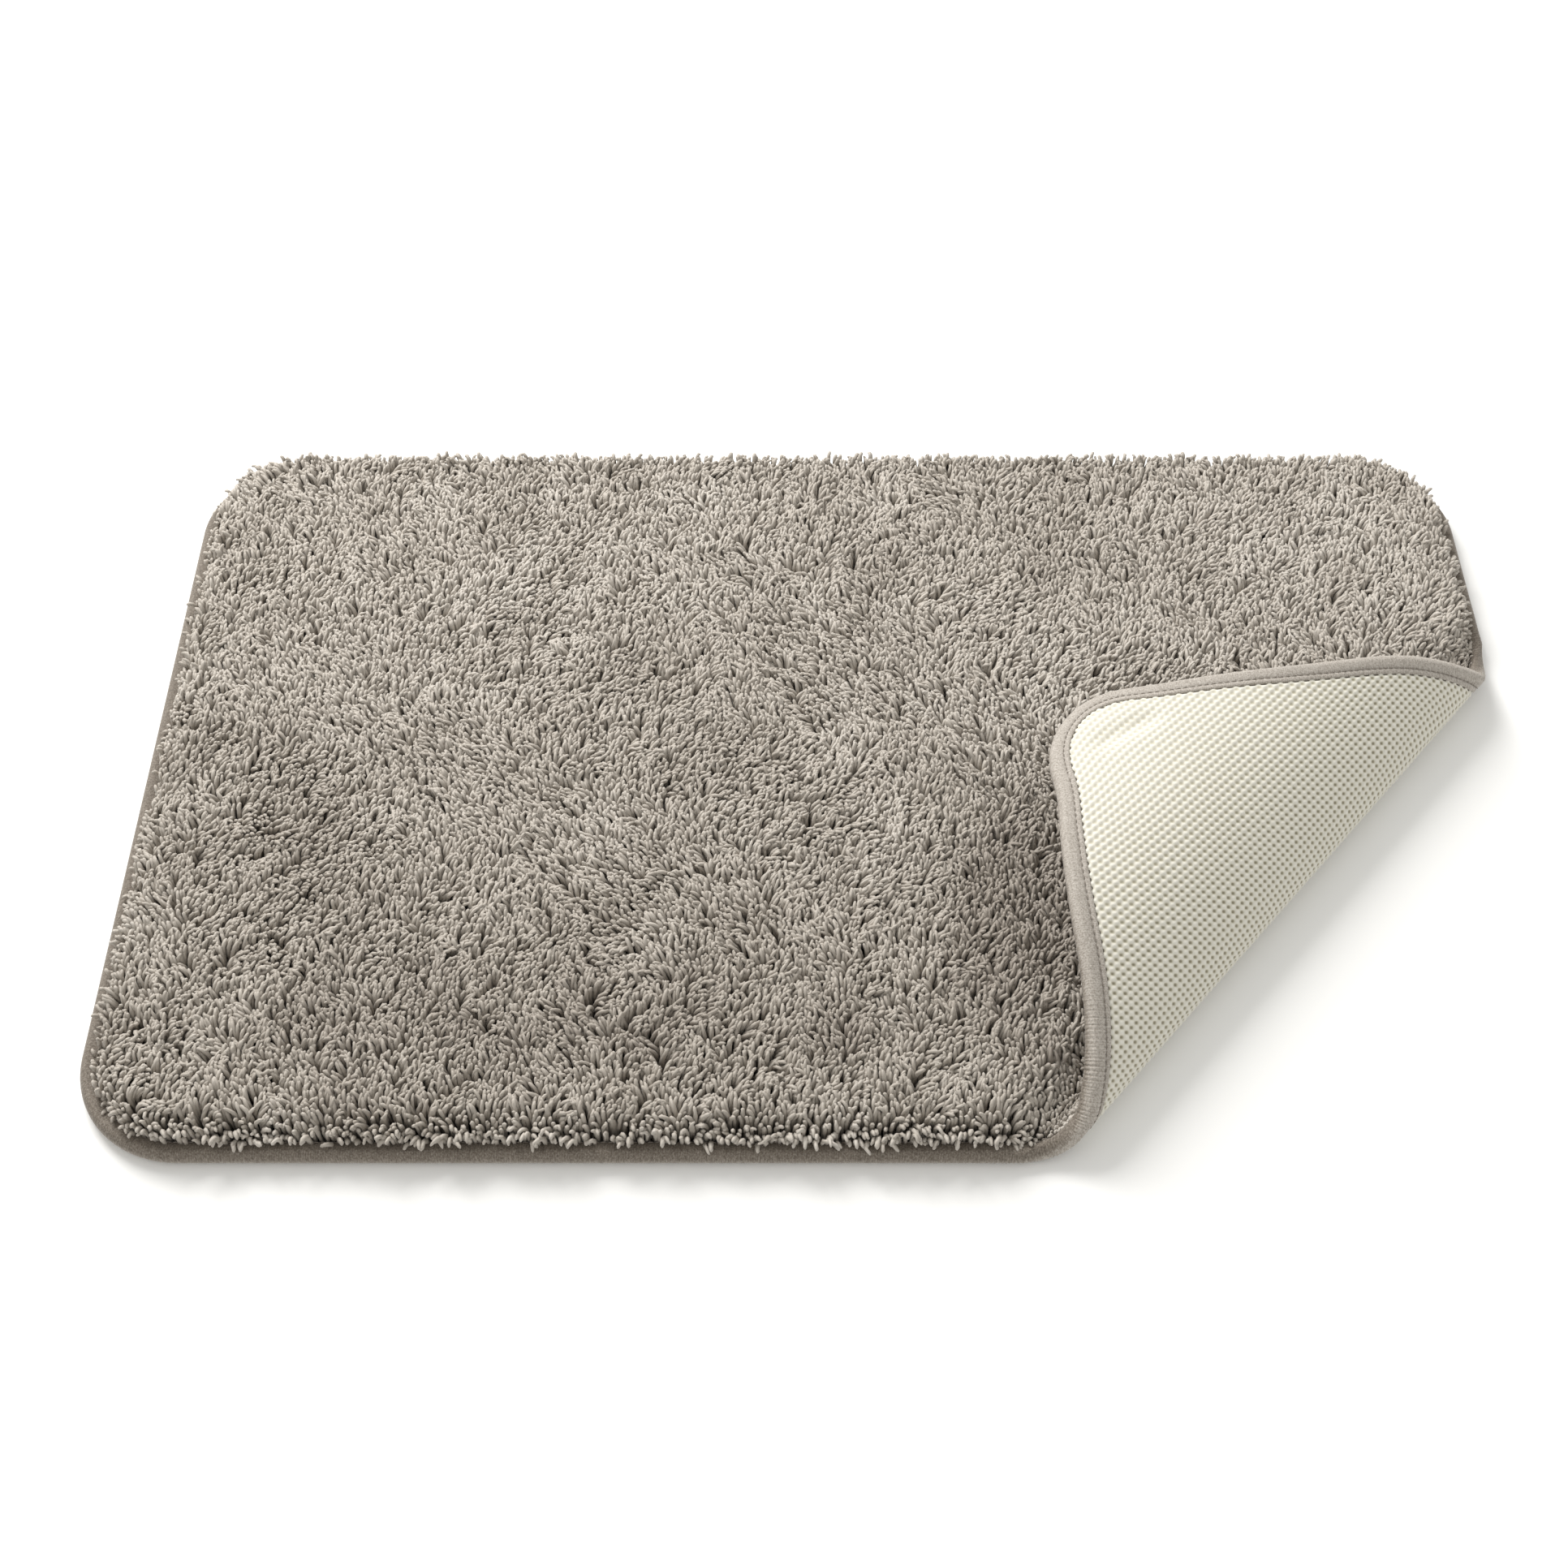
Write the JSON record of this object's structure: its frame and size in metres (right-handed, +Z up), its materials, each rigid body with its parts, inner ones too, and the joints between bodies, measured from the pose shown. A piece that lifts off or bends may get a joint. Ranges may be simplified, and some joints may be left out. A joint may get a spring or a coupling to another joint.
{
  "type": "bath mat",
  "caption": "Rectangular shag bath mat with rounded corners, bound edges and an anti-slip mesh underside, one corner turned back over its pile.",
  "frame": {"origin": "on the floor, under the middle of the 800 by 500 mm mat", "axes": "+X along the mat's length, +Y across it, +Z up; the turned-back corner is at +X, -Y"},
  "size_m": [0.8, 0.5, 0.0726],
  "materials": {
    "pile_yarn": "matt microfibre shag yarn, warm greige",
    "anti_slip_mesh": "matt cream foamed anti-slip mesh",
    "base_cloth": "plain woven cloth, greige",
    "binding_tape": "brushed ribbed tape, warm grey-brown",
    "sewing_thread": "spun polyester thread"
  },
  "bodies": {
    "mat": {"mat_backing_mesh": "anti_slip_mesh", "mat_base_cloth": "base_cloth", "mat_pile": "pile_yarn", "mat_edge_binding": "binding_tape", "mat_binding_stitch": "sewing_thread"},
    "curl_1": {"curl_1_backing_mesh": "anti_slip_mesh", "curl_1_base_cloth": "base_cloth", "curl_1_pile": "pile_yarn", "curl_1_edge_binding": "binding_tape", "curl_1_binding_stitch": "sewing_thread"},
    "curl_2": {"curl_2_backing_mesh": "anti_slip_mesh", "curl_2_base_cloth": "base_cloth", "curl_2_pile": "pile_yarn", "curl_2_edge_binding": "binding_tape", "curl_2_binding_stitch": "sewing_thread"},
    "curl_3": {"curl_3_backing_mesh": "anti_slip_mesh", "curl_3_base_cloth": "base_cloth", "curl_3_pile": "pile_yarn", "curl_3_edge_binding": "binding_tape", "curl_3_binding_stitch": "sewing_thread"},
    "curl_4": {"curl_4_backing_mesh": "anti_slip_mesh", "curl_4_base_cloth": "base_cloth", "curl_4_pile": "pile_yarn", "curl_4_edge_binding": "binding_tape", "curl_4_binding_stitch": "sewing_thread"},
    "arch_1": {"arch_1_backing_mesh": "anti_slip_mesh", "arch_1_base_cloth": "base_cloth", "arch_1_pile": "pile_yarn", "arch_1_edge_binding": "binding_tape", "arch_1_binding_stitch": "sewing_thread"},
    "arch_2": {"arch_2_backing_mesh": "anti_slip_mesh", "arch_2_base_cloth": "base_cloth", "arch_2_pile": "pile_yarn", "arch_2_edge_binding": "binding_tape", "arch_2_binding_stitch": "sewing_thread"},
    "arch_3": {"arch_3_backing_mesh": "anti_slip_mesh", "arch_3_base_cloth": "base_cloth", "arch_3_pile": "pile_yarn", "arch_3_edge_binding": "binding_tape", "arch_3_binding_stitch": "sewing_thread"},
    "arch_4": {"arch_4_backing_mesh": "anti_slip_mesh", "arch_4_base_cloth": "base_cloth", "arch_4_pile": "pile_yarn", "arch_4_edge_binding": "binding_tape", "arch_4_binding_stitch": "sewing_thread"},
    "arch_5": {"arch_5_backing_mesh": "anti_slip_mesh", "arch_5_base_cloth": "base_cloth", "arch_5_pile": "pile_yarn", "arch_5_edge_binding": "binding_tape", "arch_5_binding_stitch": "sewing_thread"},
    "corner": {"corner_backing_mesh": "anti_slip_mesh", "corner_base_cloth": "base_cloth", "corner_pile": "pile_yarn", "corner_edge_binding": "binding_tape", "corner_binding_stitch": "sewing_thread"}
  },
  "joints": [
    {"name": "fold_1", "type": "hinge", "parent": "mat", "child": "curl_1", "pos_m": [0.24944, -0.0791, 0], "axis": [0.6626, 0.749, 0], "range_deg": [0, 25]},
    {"name": "fold_2", "type": "hinge", "parent": "curl_1", "child": "curl_2", "pos_m": [0.25477, -0.08382, 0.00332], "axis": [0.6626, 0.749, 0], "range_deg": [0, 25]},
    {"name": "fold_3", "type": "hinge", "parent": "curl_2", "child": "curl_3", "pos_m": [0.25855, -0.08716, 0.00934], "axis": [0.6626, 0.749, 0], "range_deg": [0, 25]},
    {"name": "fold_4", "type": "hinge", "parent": "curl_3", "child": "curl_4", "pos_m": [0.26008, -0.08851, 0.01692], "axis": [0.6626, 0.749, 0], "range_deg": [0, 25]},
    {"name": "fold_5", "type": "hinge", "parent": "curl_4", "child": "arch_1", "pos_m": [0.25905, -0.08761, 0.02466], "axis": [0.6626, 0.749, 0], "range_deg": [0, 25]},
    {"name": "fold_6", "type": "hinge", "parent": "arch_1", "child": "arch_2", "pos_m": [0.25006, -0.07965, 0.0418], "axis": [0.6626, 0.749, 0], "range_deg": [0, 19.58]},
    {"name": "fold_7", "type": "hinge", "parent": "arch_2", "child": "arch_3", "pos_m": [0.22931, -0.06129, 0.0615], "axis": [0.6626, 0.749, 0], "range_deg": [0, 17.84]},
    {"name": "fold_8", "type": "hinge", "parent": "arch_3", "child": "arch_4", "pos_m": [0.20504, -0.03982, 0.07177], "axis": [0.6626, 0.749, 0], "range_deg": [0, 16.1]},
    {"name": "fold_9", "type": "hinge", "parent": "arch_4", "child": "arch_5", "pos_m": [0.17958, -0.01729, 0.07265], "axis": [0.6626, 0.749, 0], "range_deg": [0, 14.35]},
    {"name": "fold_10", "type": "hinge", "parent": "arch_5", "child": "corner", "pos_m": [0.15476, 0.00467, 0.06507], "axis": [0.6626, 0.749, 0], "range_deg": [0, 12.61]}
  ],
  "couplings": [
    {"joint": "fold_2", "follows": "fold_1", "ratio": 1},
    {"joint": "fold_3", "follows": "fold_1", "ratio": 1},
    {"joint": "fold_4", "follows": "fold_1", "ratio": 1},
    {"joint": "fold_5", "follows": "fold_1", "ratio": 1},
    {"joint": "fold_6", "follows": "fold_1", "ratio": 0.78332},
    {"joint": "fold_7", "follows": "fold_1", "ratio": 0.7136},
    {"joint": "fold_8", "follows": "fold_1", "ratio": 0.64388},
    {"joint": "fold_9", "follows": "fold_1", "ratio": 0.57416},
    {"joint": "fold_10", "follows": "fold_1", "ratio": 0.50444}
  ]
}
